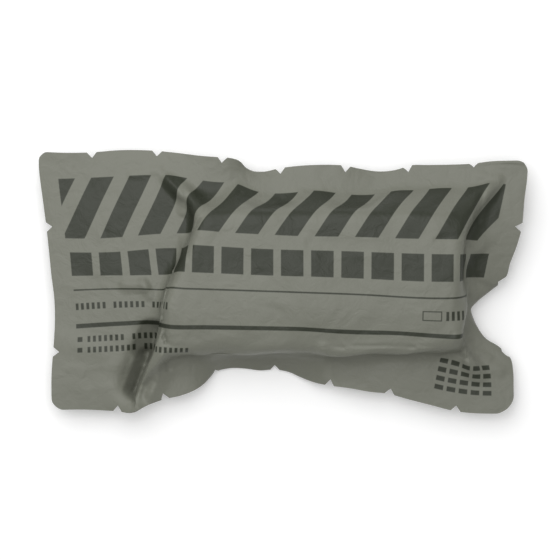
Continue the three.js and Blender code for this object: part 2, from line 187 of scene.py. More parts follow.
def edge_points(table, flat):
    """Points of a drawn-in edge at places along the flat film, on one smooth curve."""
    rows = np.array([row[:3] for row in table], float)
    run = np.r_[0, np.cumsum(np.hypot(*np.diff(rows[:, :2], axis=0).T))]
    known = [i for i, row in enumerate(table) if row[3] is not None]
    at = np.interp(run, run[known], [table[i][3] for i in known])
    points = np.c_[np.stack(place(rows[:, 0], rows[:, 1]), 1), rows[:, 2]]
    slope = np.gradient(points, at, axis=0)
    k = np.clip(np.searchsorted(at, flat, side="right") - 1, 0, len(at) - 2)
    span = (at[k + 1] - at[k])[:, None]
    t = (flat - at[k])[:, None] / span
    start, end = 2 * t**3 - 3 * t**2 + 1, 3 * t**2 - 2 * t**3
    leave, reach = (t**3 - 2 * t**2 + t) * span, (t**3 - t**2) * span
    return start * points[k] + leave * slope[k] + end * points[k + 1] + reach * slope[k + 1]


def held_sheet(across, down):
    """A sheet of down by across points, spread evenly between the four drawn-in edges."""
    u = np.linspace(0, FILM_LENGTH, across)
    v = np.linspace(0, FILM_WIDTH, down)
    top, bottom = edge_points(TOP_EDGE, u)[None], edge_points(BOTTOM_EDGE, u)[None]
    left, right = edge_points(LEFT_EDGE, v)[:, None], edge_points(RIGHT_EDGE, v)[:, None]
    s, q = (u / FILM_LENGTH)[None, :, None], (v / FILM_WIDTH)[:, None, None]
    sheet = (1 - q) * top + q * bottom + (1 - s) * left + s * right
    sheet -= (1 - q) * ((1 - s) * top[:, :1] + s * top[:, -1:])
    sheet -= q * ((1 - s) * bottom[:, :1] + s * bottom[:, -1:])
    return sheet


def eased(value, low, high):
    """0 below low, 1 above high and a smooth step between them."""
    t = np.clip((value - low) / (high - low), 0, 1)
    return t * t * (3 - 2 * t)


def flat_places(across, down):
    """Places along and down the flat film of an even grid of points."""
    return np.meshgrid(np.linspace(0, FILM_LENGTH, across), np.linspace(0, FILM_WIDTH, down))


def flat_sheet(across, down):
    """The same sheet as it was cut, lying flat."""
    u, v = flat_places(across, down)
    near = np.clip((u - FILM_LENGTH + PINCH_RUN) / PINCH_RUN, 0, 1) ** 2
    cut_in = PINCH_DEPTH * np.exp(-(((v - PINCH_AT) / PINCH_REACH) ** 2)) * near
    spread = 1 + LOWER_SPREAD * v / FILM_WIDTH
    tuck = LEFT_TUCK * eased(v, BAND_BOTTOM, THICK_RULE) * (1 - eased(u, *TUCK_END))
    return np.stack([u * spread - cut_in, tuck - v], -1) * PIXEL


def guide_table():
    """The guides as rows of flat u and v, wanted x and y in millimetres, and their two weights."""
    rows = [(u, v, *place(x, 0)[:1], 0, 1, 0) for u, v, x in ACROSS_GUIDES]
    for v, points in DOWN_GUIDES.items():
        for x, y in points:
            rows.append((np.interp(x, ALONG_PHOTO, ALONG_FILM), v, 0, place(0, y)[1], 0, 1))
    return np.array(rows)


class Guides:
    """Pulls a film's points in plan towards the places that its print has in the photograph."""

    def __init__(self, down, across):
        self.rows = guide_table()
        u, v = flat_places(across, down)
        away = (u.reshape(-1, 1) - self.rows[:, 0]) ** 2 + (v.reshape(-1, 1) - self.rows[:, 1]) ** 2
        near = np.exp(-away / GUIDE_REACH**2)
        self.spread = []
        for axis in (0, 1):
            weight = near * self.rows[:, 4 + axis]
            self.spread.append(weight / (weight.sum(1, keepdims=True) + GUIDE_REST))

    def pull(self, points, free):
        """Moves the points round each guide by a share of what the guide still misses."""
        here = sampled(points, self.rows[:, 0], self.rows[:, 1])
        for axis in (0, 1):
            missing = self.rows[:, 2 + axis] - here[:, axis]
            shift = (self.spread[axis] @ missing).reshape(free.shape)
            points[..., axis] += GUIDE_PULL * shift * free


def roll_sides(y):
    """Where the roll's left and right sides are at a height in plan."""
    upper, lower = place(0, ROLL_TOP_EDGE)[1], place(0, ROLL_BOTTOM_EDGE)[1]
    s = (upper - y) / (upper - lower)
    left = np.interp(PHOTO_MIDDLE[1] - y / PIXEL, ROLL_LEFT["y"], ROLL_LEFT["x"])
    right = ROLL_RIGHT["top"] + (ROLL_RIGHT["bottom"] - ROLL_RIGHT["top"]) * s
    return place(left, 0)[0], place(right, 0)[0]


def roll_distance(x, y):
    """Distance in plan from the roll's outline, negative inside it."""
    upper, lower = place(0, ROLL_TOP_EDGE)[1], place(0, ROLL_BOTTOM_EDGE)[1]
    left, right = roll_sides(y)
    qx = np.maximum(left - x, x - right) + ROLL_CORNER
    qy = np.maximum(y - upper, lower - y) + ROLL_CORNER
    outside = np.hypot(np.maximum(qx, 0), np.maximum(qy, 0))
    return outside + np.minimum(np.maximum(qx, qy), 0) - ROLL_CORNER


def edge_drop(distance):
    """How far the roll's rounded edge falls below its face."""
    over = np.clip(distance + ROLL_EDGE, 0, ROLL_EDGE)
    return ROLL_EDGE - np.sqrt(ROLL_EDGE**2 - over**2)


FAR_BELOW = -1000.0
CELL = 0.75  # of the map of the front film's height, which the back film stays under
MAP_REACH = (105.0, 60.0)
MAP_SAMPLES = 4  # of the film, for each of its points along and across
MAP_END = 1.001  # cells that a place keeps from the end of the map


def roll_upper(x, y, d):
    """Height of the roll's upper face, with the soft waves of the wound bandage."""
    broad, fine = BROAD_WAVE, FINE_WAVE
    start_x, start_y = broad["start"]
    rise = broad["rise"] * np.sin(x / broad["x"] + start_x) * np.cos(y / broad["y"] + start_y)
    rise += fine["rise"] * np.sin(x / fine["x"] + y / fine["y"])
    dip_x, dip_y = place(*DIP["at"])
    rise -= DIP["fall"] * np.exp(-(((x - dip_x) / DIP["x"]) ** 2) - ((y - dip_y) / DIP["y"]) ** 2)
    slump_top, slump_end = place(0, SLUMP_FROM)[1], place(0, ROLL_BOTTOM_EDGE)[1]
    rise -= ROLL_SLUMP * np.clip((slump_top - y) / (slump_top - slump_end), 0, SLUMP_PAST) ** 2
    rise -= LEFT_FALL * np.clip(1 - (x - roll_sides(y)[0]) / LEFT_RUN, 0, 1) ** 2
    return ROLL_FACE + rise - ROLL_CROWN * np.clip(1 + d / CROWN_RUN, 0, 1) ** 2 - edge_drop(d)


def roll_lower(d):
    """Height of the roll's underside."""
    return ROLL_UNDERSIDE + edge_drop(d)


def over_roll(x, y):
    """What carries the front film."""
    d = roll_distance(x, y)
    return np.where(d > 0, FAR_BELOW, roll_upper(x, y, d))


def close_over_roll(x, y):
    """What the front film stays under."""
    d = roll_distance(x, y)
    return np.where(d > -ROLL_EDGE / 2, -FAR_BELOW, roll_upper(x, y, d) + STAND_OFF)


def above_surface(x, y):
    """What the back film stays under, turned over as it is."""
    return np.full_like(x, -LOWEST)


def under_roll(x, y):
    """What carries the back film, turned over so that it faces up."""
    d = roll_distance(x, y)
    return np.where(d > 0, FAR_BELOW, -roll_lower(d))


# Where the films lie lower or higher than an even sheet. Columns: from x and y, to x and y in the
# photograph, half width in its pixels, and the rise in millimetres, negative for a valley.
FOLDS = [
    (152, 338, 134, 386, 12, -7.5), (168, 352, 150, 392, 8, 2.5),
]


def fold_rise(x, y):
    """What the folds add to the level of the films."""
    rise = np.zeros_like(x)
    for x0, y0, x1, y1, half_width, height in FOLDS:
        start, end = np.array(place(x0, y0)), np.array(place(x1, y1))
        run = end - start
        along = ((x - start[0]) * run[0] + (y - start[1]) * run[1]) / (run @ run)
        along = np.clip(along, 0, 1)
        away = np.hypot(x - start[0] - along * run[0], y - start[1] - along * run[1])
        rise += height * np.exp(-((away / (half_width * PIXEL)) ** 2))
    return rise


# Folds and crumples that the drawn-in front film keeps. Columns: from x and y, to x and y in the
# photograph, width left of that line and right of it in its pixels, and the rise in millimetres.
CREASES = [
    (132, 174, 158, 169, 6, 9, 0.5), (168, 179, 181, 195, 5, 9, 0.9), (181, 197, 183, 212, 5, 8, 0.7),
    (189, 210, 188, 234, 5, 6, -0.6), (184, 240, 185, 262, 4, 7, 0.6),
    (126, 285, 144, 286, 9, 10, 1.1), (143, 281, 151, 296, 6, 8, 0.7),
    (163, 356, 146, 380, 9, 5, 1.0), (157, 378, 158, 366, 5, 5, 0.7),
    (168, 356, 168, 368, 5, 5, -1.0), (172, 359, 190, 354, 5, 6, -0.9),
    (92, 378, 124, 376, 12, 12, -0.5), (60, 340, 100, 352, 16, 16, 0.5),
    (322, 348, 324, 378, 9, 9, 0.8), (240, 196, 266, 206, 7, 7, -1.1),
    (282, 202, 308, 206, 6, 7, -0.6), (482, 190, 477, 220, 6, 7, -0.9),
    (436, 240, 464, 235, 5, 5, -0.4), (478, 176, 500, 178, 6, 6, 0.4),
    (470, 250, 472, 292, 6, 6, 0.8), (468, 279, 492, 289, 6, 6, -0.7),
    (452, 339, 470, 337, 5, 6, 0.8), (466, 354, 470, 346, 5, 5, 0.8),
    (446, 355, 467, 363, 5, 5, 0.6), (471, 350, 490, 358, 5, 6, 0.6), (472, 364, 500, 370, 9, 10, 0.5),
]
# The same for the dart by the roll's lower left corner, whose valley line is sharp
DART = [(158, 331, 148, 354, 4, 19, -7.5), (148, 356, 134, 392, 4, 12, -5.5)]


def crease_rise(x, y, table, sharp):
    """What a table of creases adds to the front film, with sharp or rounded lines."""
    rise = np.zeros_like(x)
    for x0, y0, x1, y1, left, right, height in table:
        start, end = np.array(place(x0, y0)), np.array(place(x1, y1))
        run = (end - start) / np.hypot(*(end - start))
        length = np.hypot(*(end - start))
        along = (x - start[0]) * run[0] + (y - start[1]) * run[1]
        aside = (y - start[1]) * run[0] - (x - start[0]) * run[1]
        beyond = np.maximum(np.maximum(-along, along - length), 0) / ((left + right) / 2 * PIXEL)
        away = np.hypot(aside / (np.where(aside > 0, left, right) * PIXEL), beyond)
        near = np.clip(1 - away, 0, 1) if sharp else np.clip(1 - away**2, 0, 1) ** 2
        rise += height * near
    return rise


def creased(points):
    """The front film with the creases of both tables."""
    for table, sharp in ((CREASES, False), (DART, True)):
        points[..., 2] += crease_rise(points[..., 0], points[..., 1], table, sharp)
    points[1:-1, 1:-1, 2] = np.maximum(points[1:-1, 1:-1, 2], FRONT_LOWEST)
    return points


COVERED_FROM = 1.0  # inside the roll's outline, in millimetres
LEVEL_SWEEPS = 4  # for each point along the sheet


def seal_level(sheet):
    """Level at which the two films meet, carried in evenly from the held edge."""
    level = sheet[..., 2].copy()
    inner = (slice(1, -1), slice(1, -1))
    covered = roll_distance(sheet[..., 0], sheet[..., 1])[inner] < -COVERED_FROM
    for _ in range(LEVEL_SWEEPS * max(level.shape)):
        around = level[:-2, 1:-1] + level[2:, 1:-1] + level[1:-1, :-2] + level[1:-1, 2:]
        level[inner] = np.where(covered, SEAL_LEVEL, around / 4)
    level[inner] += fold_rise(sheet[..., 0], sheet[..., 1])[inner]
    return np.maximum(level, FRONT_LOWEST)


def lowest_map(points):
    """Lowest height of a folded film over each cell of a plan grid and the cells round it."""
    down, across = points.shape[:2]
    fine = stretched(points, MAP_SAMPLES * across, MAP_SAMPLES * down).reshape(-1, 3)
    size = [int(2 * reach / CELL) + 1 for reach in MAP_REACH]
    i, j = (np.rint((fine[:, a] + MAP_REACH[a]) / CELL).astype(int) for a in (0, 1))
    lowest = np.full(size, np.inf)
    np.minimum.at(lowest, (i, j), fine[:, 2])
    around = np.pad(lowest, 1, constant_values=np.inf)
    near = [around[a:a + size[0], b:b + size[1]] for a in range(3) for b in range(3)]
    lowest = np.min(near, axis=0)
    return np.where(np.isfinite(lowest), lowest, -FAR_BELOW)


def map_height(heights, x, y):
    """Height read from a plan grid, smooth between its cells."""
    a = np.clip((x + MAP_REACH[0]) / CELL, 0, heights.shape[0] - MAP_END)
    b = np.clip((y + MAP_REACH[1]) / CELL, 0, heights.shape[1] - MAP_END)
    i, j = a.astype(int), b.astype(int)
    s, t = a - i, b - j
    low = heights[i, j] * (1 - s) + heights[i + 1, j] * s
    return low * (1 - t) + (heights[i, j + 1] * (1 - s) + heights[i + 1, j + 1] * s) * t


def stretched(grid, across, down):
    """A grid of values sampled at another number of points."""
    for axis, count in ((1, across), (0, down)):
        at = np.linspace(0, grid.shape[axis] - 1, count)
        k = np.clip(at.astype(int), 0, grid.shape[axis] - 2)
        shape = [1] * grid.ndim
        shape[axis] = count
        t = (at - k).reshape(shape)
        grid = np.take(grid, k, axis) * (1 - t) + np.take(grid, k + 1, axis) * t
    return grid


def neighbour_pairs():
    """Slices that pair each point with its neighbours, so that no pair of a set shares a point."""
    whole = slice(None)
    pairs = []
    for k in (0, 1):
        near, far = slice(k, -1, 2), slice(k + 1, None, 2)
        pairs.append(((whole, near), (whole, far)))
        pairs.append(((near, whole), (far, whole)))
        pairs.append(((near, slice(None, -1)), (far, slice(1, None))))
        pairs.append(((near, slice(1, None)), (far, slice(None, -1))))
    return pairs


PAIRS = neighbour_pairs()
TINY = 1e-9  # keeps a divisor from zero
DAMPING = 0.9  # the share of its speed that a point keeps from step to step
FRICTION = 0.3  # the share of its slide in plan that a point loses where it rests
EDGE_MARGIN = 0.3  # that the film keeps in plan from the outline that its edge draws


def outline_sides():
    """The four drawn-in edges in plan, each as rising places and where the edge is there."""
    sides = []
    for table, along in ((LEFT_EDGE, 1), (RIGHT_EDGE, 1), (BOTTOM_EDGE, 0), (TOP_EDGE, 0)):
        rows = np.array([place(*row[:2]) for row in table])
        rows = rows[np.argsort(rows[:, along])]
        sides.append((rows[:, along], rows[:, 1 - along]))
    return sides


OUTLINE = outline_sides()


class Film:
    """A film that keeps its lengths, pulled against what lies under it."""

    def __init__(self, points, held, support, floor, ceiling, give, guides=None, seal=None):
        self.guides, self.seal = guides, seal
        self.now, self.before = points, points.copy()
        self.support, self.floor, self.ceiling = support, floor, ceiling
        self.free = np.where(held, 0.0, 1.0)
        flat = flat_sheet(points.shape[1], points.shape[0])
        self.limits = []
        for a, b in PAIRS:
            length = np.linalg.norm(flat[b] - flat[a], axis=-1)
            self.limits.append((length * (1 - (give[a] + give[b]) / 2), length))

    def keep_lengths(self):
        """Brings neighbours back to the lengths that the flat film allows between them."""
        for (a, b), limits in zip(PAIRS, self.limits):
            apart = self.now[b] - self.now[a]
            real = np.sqrt((apart * apart).sum(-1))
            shared = np.maximum(self.free[a] + self.free[b], TINY)
            step = apart * ((real - np.clip(real, *limits)) / (real * shared))[..., None]
            self.now[a] += step * self.free[a][..., None]
            self.now[b] -= step * self.free[b][..., None]

    def keep_smooth(self, reach):
        """Takes out a share of the bends between points that are reach apart."""
        force = np.zeros_like(self.now)
        for now, pull in ((self.now, force), (self.now.swapaxes(0, 1), force.swapaxes(0, 1))):
            bend = now[:-2 * reach] - 2 * now[reach:-reach] + now[2 * reach:]
            pull[:-2 * reach] -= bend
            pull[reach:-reach] += 2 * bend
            pull[2 * reach:] -= bend
        self.now += STIFFNESS * force * self.free[..., None]

    def keep_inside(self):
        """Keeps the film inside the outline that its edges draw in plan."""
        for axis, (low, high) in ((0, OUTLINE[:2]), (1, OUTLINE[2:])):
            here, along = self.now[..., axis], self.now[..., 1 - axis]
            inside = np.maximum(here, np.interp(along, *low) + EDGE_MARGIN)
            inside = np.minimum(inside, np.interp(along, *high) - EDGE_MARGIN)
            self.now[..., axis] = np.where(self.free > 0, inside, here)

    def rest_on_support(self):
        """Keeps the film between what carries it and its ceiling, and slows it where it rests."""
        x, y, z = np.moveaxis(self.now, -1, 0)
        ground = np.maximum(self.support(x, y), self.floor)
        touching = (z < ground) & (self.free > 0)
        z = np.where(touching, ground, z)
        z = np.where(self.free > 0, np.minimum(z, self.ceiling(x, y)), z)
        self.now[..., 2] = z
        held = FRICTION * touching[..., None]
        self.now[..., :2] += (self.before[..., :2] - self.now[..., :2]) * held

    def draw_in(self, steps, sweeps, reach):
        """Runs the simulation and returns the drawn-in points."""
        for _ in range(steps):
            speed = (self.now - self.before) * DAMPING
            self.before = self.now.copy()
            self.now = self.now + (speed - PULL * normals(self.now)) * self.free[..., None]
            if self.guides is not None:
                self.guides.pull(self.now, self.free)
            for _ in range(sweeps):
                self.keep_lengths()
                for apart in range(1, reach + 1):
                    self.keep_smooth(apart)
            if self.seal is not None:
                level, share = self.seal
                self.now[..., 2] += share * (level - self.now[..., 2]) * self.free
            self.keep_inside()
            self.rest_on_support()
        return self.now


def normals(points):
    """Unit normals of a grid of points, out of its front."""
    along = np.gradient(points, axis=1)
    up = -np.gradient(points, axis=0)
    normal = np.cross(along, up)
    return normal / np.maximum(np.linalg.norm(normal, axis=-1, keepdims=True), TINY)


# Rounds of the simulation, coarse to fine: points along and across, steps, sweeps of a step, and
# how many points apart the film is kept from bending sharply
ROUNDS = [(67, 36, 200, 10, 1), (131, 69, 80, 10, 1), (205, 107, 60, 12, 2)]
PULL = 0.05  # of the vacuum, in millimetres that it adds to each step
STIFFNESS = 0.03  # the share of a sharp bend that a sweep takes out
WRINKLE_SEED = 4
WRINKLE_START = 0.4  # of the front film's heights at first, in millimetres


# The share by which the films may shorten, where they are gathered more finely than their points:
# the back film all over, and the front film round the places of a table. Columns: the place along
# and down the flat film, the reach along and down it, and that share.
BACK_GIVE = 0.5
GATHERS = [
    (272, 235, 45, 30, 0.5), (345, 228, 30, 22, 0.35), (130, 160, 16, 24, 0.15),
    (122, 222, 24, 30, 0.2), (205, 0, 24, 40, 0.2),
]


def front_give(across, down):
    """The share by which the front film may shorten at each point of a grid."""
    u, v = flat_places(across, down)
    give = np.zeros_like(u)
    for at_u, at_v, reach_u, reach_v, share in GATHERS:
        near = np.exp(-(((u - at_u) / reach_u) ** 2) - ((v - at_v) / reach_v) ** 2)
        give = np.maximum(give, share * near)
    return give


def outermost(across, down):
    """True for the outermost points of a grid."""
    held = np.ones((down, across), bool)
    held[1:-1, 1:-1] = False
    return held


def seal_share(across, down):
    """1 in the seal band of the flat film, falling to 0 inside it."""
    u, v = flat_places(across, down)
    from_edge = np.minimum(np.minimum(u, FILM_LENGTH - u), np.minimum(v, FILM_WIDTH - v)) * PIXEL
    return np.clip(1 - (from_edge - SEAL_BAND) / SEAL_FADE, 0, 1)


def with_edge(points, edge):
    """Points whose outermost ones are those of edge."""
    points[0], points[-1] = edge[0], edge[-1]
    points[:, 0], points[:, -1] = edge[:, 0], edge[:, -1]
    return points


def drawn_front():
    """The front film: drawn over the roll, with its seal held at the level of its edge."""
    rng = np.random.default_rng(WRINKLE_SEED)
    points = None
    for across, down, steps, sweeps, reach in ROUNDS:
        start = held_sheet(across, down)
        if points is None:
            level = seal_level(start)
            points = start.copy()
            upper = np.maximum(over_roll(start[..., 0], start[..., 1]), level)
            points[..., 2] = upper + rng.normal(0, WRINKLE_START, level.shape)
        else:
            points = with_edge(stretched(points, across, down), start)
            level = seal_level(points)
        film = Film(with_edge(points, start), outermost(across, down), over_roll, level,
                    close_over_roll, front_give(across, down), Guides(down, across),
                    (level, SEAL_HOLD * seal_share(across, down)))
        points = film.draw_in(steps, sweeps, reach)
    return points


def drawn_back(front):
    """The back film, worked out upside down: welded to the front film and pulled against the roll."""
    flip = np.array([1, 1, -1])
    above = lowest_map(front)
    weld = front - (2 * FILM_WALL + WELD_GAP) * normals(front)

    def support(x, y):
        return np.maximum(under_roll(x, y), 2 * FILM_WALL - map_height(above, x, y))

    points = None
    for across, down, steps, sweeps, reach in ROUNDS:
        welded = seal_share(across, down) == 1
        edge = stretched(weld, across, down)
        if points is None:
            points = held_sheet(across, down)
            under = roll_distance(points[..., 0], points[..., 1]) < 0
            points[..., 2] = np.where(under, ROLL_UNDERSIDE, edge[..., 2])
            points *= flip
        else:
            points = stretched(points, across, down)
        points = np.where(welded[..., None], edge * flip, points)
        floor = -seal_level(points * flip)
        give = np.full((down, across), BACK_GIVE)
        film = Film(points, welded, support, floor, above_surface, give)
        points = film.draw_in(steps, sweeps, reach)
    return points * flip


def curve_weights(t):
    """Weights of four neighbours for a smooth curve through the middle two."""
    return np.stack([
        -t**3 + 2 * t**2 - t, 3 * t**3 - 5 * t**2 + 2, -3 * t**3 + 4 * t**2 + t, t**3 - t**2,
    ]) / 2


def sampled(grid, u, v):
    """Smooth samples of a grid of points at places on the flat film."""
    down, across = grid.shape[:2]
    x = np.clip(u / FILM_LENGTH * (across - 1), 0, across - 1)
    y = np.clip(v / FILM_WIDTH * (down - 1), 0, down - 1)
    i, j = np.minimum(x.astype(int), across - 2), np.minimum(y.astype(int), down - 2)
    wx, wy = curve_weights(x - i), curve_weights(y - j)
    total = 0
    for b in range(4):
        row = np.clip(j + b - 1, 0, down - 1)
        for a in range(4):
            column = np.clip(i + a - 1, 0, across - 1)
            total = total + grid[row, column] * (wx[a] * wy[b])[..., None]
    return total


def stations(total, count, notches):
    """Even places along an edge, moved a little so that each notch has its three points."""
    at = np.linspace(0, total, count)
    for middle in notches:
        for offset in (-NOTCH_WIDTH / 2, 0, NOTCH_WIDTH / 2):
            at[np.argmin(np.abs(at - middle - offset))] = middle + offset
    return at


def notch_depth(at, notches):
    """Depth of the V notches at places along an edge."""
    depth = np.zeros_like(at)
    for middle in notches:
        depth = np.maximum(depth, NOTCH_DEPTH * (1 - np.abs(at - middle) / (NOTCH_WIDTH / 2)))
    return depth


CUT_FADE = 16.0  # how far in from an edge the points make room for a notch


def cut_places(across, down):
    """Places on the flat film of a grid of points that follows its notches and round corners."""
    s, q = np.linspace(0, 1, across)[None, :], np.linspace(0, 1, down)[:, None]
    top, bottom = (stations(FILM_LENGTH, across, n)[None, :] for n in (TOP_NOTCHES, BOTTOM_NOTCHES))
    left, right = (stations(FILM_WIDTH, down, n)[:, None] for n in (LEFT_NOTCHES, RIGHT_NOTCHES))
    u = (1 - q) * top + q * bottom
    v = (1 - s) * left + s * right
    moved_v = v + notch_depth(top, TOP_NOTCHES) * np.clip(1 - v / CUT_FADE, 0, 1)
    moved_v -= notch_depth(bottom, BOTTOM_NOTCHES) * np.clip(1 - (FILM_WIDTH - v) / CUT_FADE, 0, 1)
    moved_u = u + notch_depth(left, LEFT_NOTCHES) * np.clip(1 - u / CUT_FADE, 0, 1)
    moved_u -= notch_depth(right, RIGHT_NOTCHES) * np.clip(1 - (FILM_LENGTH - u) / CUT_FADE, 0, 1)
    for name, radius in CORNER_RADII.items():
        at_top, at_left = name.startswith("upper"), name.endswith("left")
        near_u = 1 - (moved_u if at_left else FILM_LENGTH - moved_u) / radius
        near_v = 1 - (moved_v if at_top else FILM_WIDTH - moved_v) / radius
        corner = (near_u > 0) & (near_v > 0)
        across_u = (1 - near_u * np.sqrt(1 - near_v * near_v * corner / 2)) * radius
        down_v = (1 - near_v * np.sqrt(1 - near_u * near_u * corner / 2)) * radius
        moved_u = np.where(corner, across_u if at_left else FILM_LENGTH - across_u, moved_u)
        moved_v = np.where(corner, down_v if at_top else FILM_WIDTH - down_v, moved_v)
    return moved_u, moved_v


FLAT_MAP = "flat_film"


def linked(mesh):
    """A piece of the scene of the same name as its mesh."""
    piece = bpy.data.objects.new(mesh.name, mesh)
    bpy.context.scene.collection.objects.link(piece)
    return piece


def sharpen_rim(mesh, first):
    """Makes the edges sharp between a film's faces and its cut rim, whose faces start at first."""
    made = bmesh.new()
    made.from_mesh(mesh)
    made.faces.ensure_lookup_table()
    for face in made.faces[first:]:
        for edge in face.edges:
            edge.smooth = all(other.index >= first for other in edge.link_faces)
    made.to_mesh(mesh)
    made.free()


def film_piece(name, grid, across, down, faces_up):
    """A closed piece of film whose outer face follows the grid, with the flat film's UV map."""
    u, v = cut_places(across, down)
    outer = sampled(grid, u, v)
    outer[..., 2] = np.maximum(outer[..., 2], LOWEST)
    inward = -normals(outer) if faces_up else normals(outer)
    inner = outer + inward * FILM_WALL
    number = np.arange(across * down).reshape(down, across)
    layer = across * down
    a, b, c, d = number[1:, :-1], number[1:, 1:], number[:-1, 1:], number[:-1, :-1]
    shell = np.stack([a, b, c, d], -1).reshape(-1, 4)
    ring = np.concatenate([number[0], number[1:, -1], number[-1, -2::-1], number[-2:0:-1, 0]])
    after = np.roll(ring, -1)
    rim = np.stack([ring, after, after + layer, ring + layer], 1)
    if faces_up:
        quads = np.concatenate([shell, shell[:, ::-1] + layer, rim])
    else:
        quads = np.concatenate([shell[:, ::-1], shell + layer, rim[:, ::-1]])
    points = np.concatenate([outer.reshape(-1, 3), inner.reshape(-1, 3)]) * MM
    mesh = bpy.data.meshes.new(name)
    mesh.from_pydata(points.tolist(), [], quads.tolist())
    flat = np.stack([u, FILM_WIDTH - v], -1).reshape(-1, 2) * PIXEL * MM
    flat = np.concatenate([flat, flat]).astype(np.float32)
    uv = mesh.uv_layers.new(name=FLAT_MAP)
    uv.data.foreach_set("uv", flat[quads.reshape(-1)].reshape(-1))
    mesh.shade_smooth()
    sharpen_rim(mesh, len(quads) - len(rim))
    return linked(mesh)


# The roll as a piece of its own, a little smaller than the space that the films leave it
ROLL_SLACK = 0.9
ROLL_AROUND = 256
ROLL_RINGS = 24
ROLL_SIDE_STEPS = 60
CORNER_STEPS = 12
FIRST_RING = 0.02  # of the quarter turn that spaces the rings, where the innermost one is
LAYER = 1.3  # of the wound bandage, whose layers show at both ends
LAYER_DEPTH = 0.35


def roll_outline(inset):
    """A closed loop of evenly spaced points in plan round the roll, inset from its outline."""
    upper, lower = place(0, ROLL_TOP_EDGE)[1], place(0, ROLL_BOTTOM_EDGE)[1]
    turn = np.linspace(0, math.pi / 2, CORNER_STEPS)
    arc = ROLL_CORNER * (1 - np.cos(turn))
    y = np.concatenate([lower + arc, (upper - arc)[::-1]])
    cut = ROLL_CORNER * (1 - np.sin(turn))
    cut = np.concatenate([cut, cut[::-1]])
    left, right = roll_sides(y)
    loop = np.concatenate([np.c_[right - cut, y], np.c_[left + cut, y][::-1]])
    loop = np.concatenate([loop, loop[:1]])
    run = np.r_[0, np.cumsum(np.hypot(*np.diff(loop, axis=0).T))]
    at = np.linspace(0, run[-1], ROLL_AROUND, endpoint=False)
    even = np.stack([np.interp(at, run, loop[:, axis]) for axis in (0, 1)], 1)
    along = np.roll(even, -1, axis=0) - np.roll(even, 1, axis=0)
    along /= np.linalg.norm(along, axis=1, keepdims=True)
    return even - inset * np.c_[along[:, 1], -along[:, 0]]


def add_roll():
    """The wound bandage: a rounded block whose ends show the edges of its layers."""
    outline = roll_outline(ROLL_SLACK)
    middle = outline.mean(axis=0)
    reach = abs(outline[:, 1] - middle[1]).max()
    low, high = outline[:, 0].min() + reach, outline[:, 0].max() - reach
    spine = np.c_[np.clip(outline[:, 0], low, high), np.full(len(outline), middle[1])]
    shares = np.sin(np.linspace(FIRST_RING, 1, ROLL_RINGS) * math.pi / 2)
    faces_up, faces_down = [], []
    for share in shares:
        x, y = (spine + (outline - spine) * share).T
        d = np.minimum(roll_distance(x, y) + ROLL_SLACK, 0)
        faces_up.append(np.c_[x, y, roll_upper(x, y, d) - ROLL_SLACK])
        faces_down.insert(0, np.c_[x, y, roll_lower(d) + ROLL_SLACK])
    top, bottom = faces_up[-1][:, 2], faces_down[0][:, 2]
    out = (outline - spine) / np.linalg.norm(outline - spine, axis=1, keepdims=True)
    at_end = np.clip(2 * np.abs(out[:, 0]) - 1, 0, 1)
    sides = []
    for share in np.linspace(0, 1, ROLL_SIDE_STEPS)[1:-1]:
        z = top + (bottom - top) * share
        dent = LAYER_DEPTH * (0.5 + 0.5 * np.cos(z * 2 * math.pi / LAYER)) * at_end
        sides.append(np.c_[outline - out * dent[:, None], z])
    loops = faces_up + sides + faces_down
    count = len(outline)
    points = np.concatenate(loops) * MM
    faces = [list(range(count)), list(range(len(points) - 1, len(points) - count - 1, -1))]
    for ring in range(0, len(points) - count, count):
        for k in range(count):
            after = (k + 1) % count
            faces.append([ring + k, ring + count + k, ring + count + after, ring + after])
    mesh = bpy.data.meshes.new("wound_bandage")
    mesh.from_pydata(points.tolist(), [], faces)
    mesh.shade_smooth()
    return linked(mesh)


# Materials

class Nodes:
    """A material's node tree, with short calls for the sums of a procedural pattern."""

    def __init__(self, name):
        self.material = bpy.data.materials.new(name)
        self.material.use_nodes = True
        self.tree = self.material.node_tree
        self.shader = self.tree.nodes["Principled BSDF"]

    def add(self, kind, **settings):
        node = self.tree.nodes.new(kind)
        for key, value in settings.items():
            setattr(node, key, value)
        return node

    def link(self, source, target):
        if isinstance(source, (int, float)):
            target.default_value = source
        else:
            self.tree.links.new(source, target)

    def math(self, operation, a, b=None, c=None, clamp=False):
        node = self.add("ShaderNodeMath", operation=operation, use_clamp=clamp)
        for value, socket in zip((a, b, c), node.inputs):
            if value is not None:
                self.link(value, socket)
        return node.outputs[0]

    def inside(self, value, low, high, soft):
        """1 between low and high, falling to 0 over soft at both ends."""
        rise = self.math("MULTIPLY_ADD", value, 1 / soft, 0.5 - low / soft, clamp=True)
        fall = self.math("MULTIPLY_ADD", value, -1 / soft, 0.5 + high / soft, clamp=True)
        return self.math("MULTIPLY", rise, fall)

    def noise(self, vector, scale, detail=2.0, roughness=0.5, distortion=0.0):
        node = self.add("ShaderNodeTexNoise")
        self.link(vector, node.inputs["Vector"])
        for key, value in (("Scale", scale), ("Detail", detail), ("Roughness", roughness),
                           ("Distortion", distortion)):
            node.inputs[key].default_value = value
        return node.outputs["Fac"]

    def mix(self, share, a, b):
        node = self.add("ShaderNodeMix", data_type="RGBA")
        self.link(share, node.inputs["Factor"])
        for value, socket in ((a, node.inputs[6]), (b, node.inputs[7])):
            if isinstance(value, tuple):
                socket.default_value = (*value, 1)
            else:
                self.tree.links.new(value, socket)
        return node.outputs[2]

    def bump(self, height, strength, distance, normal=None):
        node = self.add("ShaderNodeBump")
        node.inputs["Strength"].default_value = strength
        node.inputs["Distance"].default_value = distance
        self.link(height, node.inputs["Height"])
        if normal is not None:
            self.tree.links.new(normal, node.inputs["Normal"])
        return node.outputs[0]


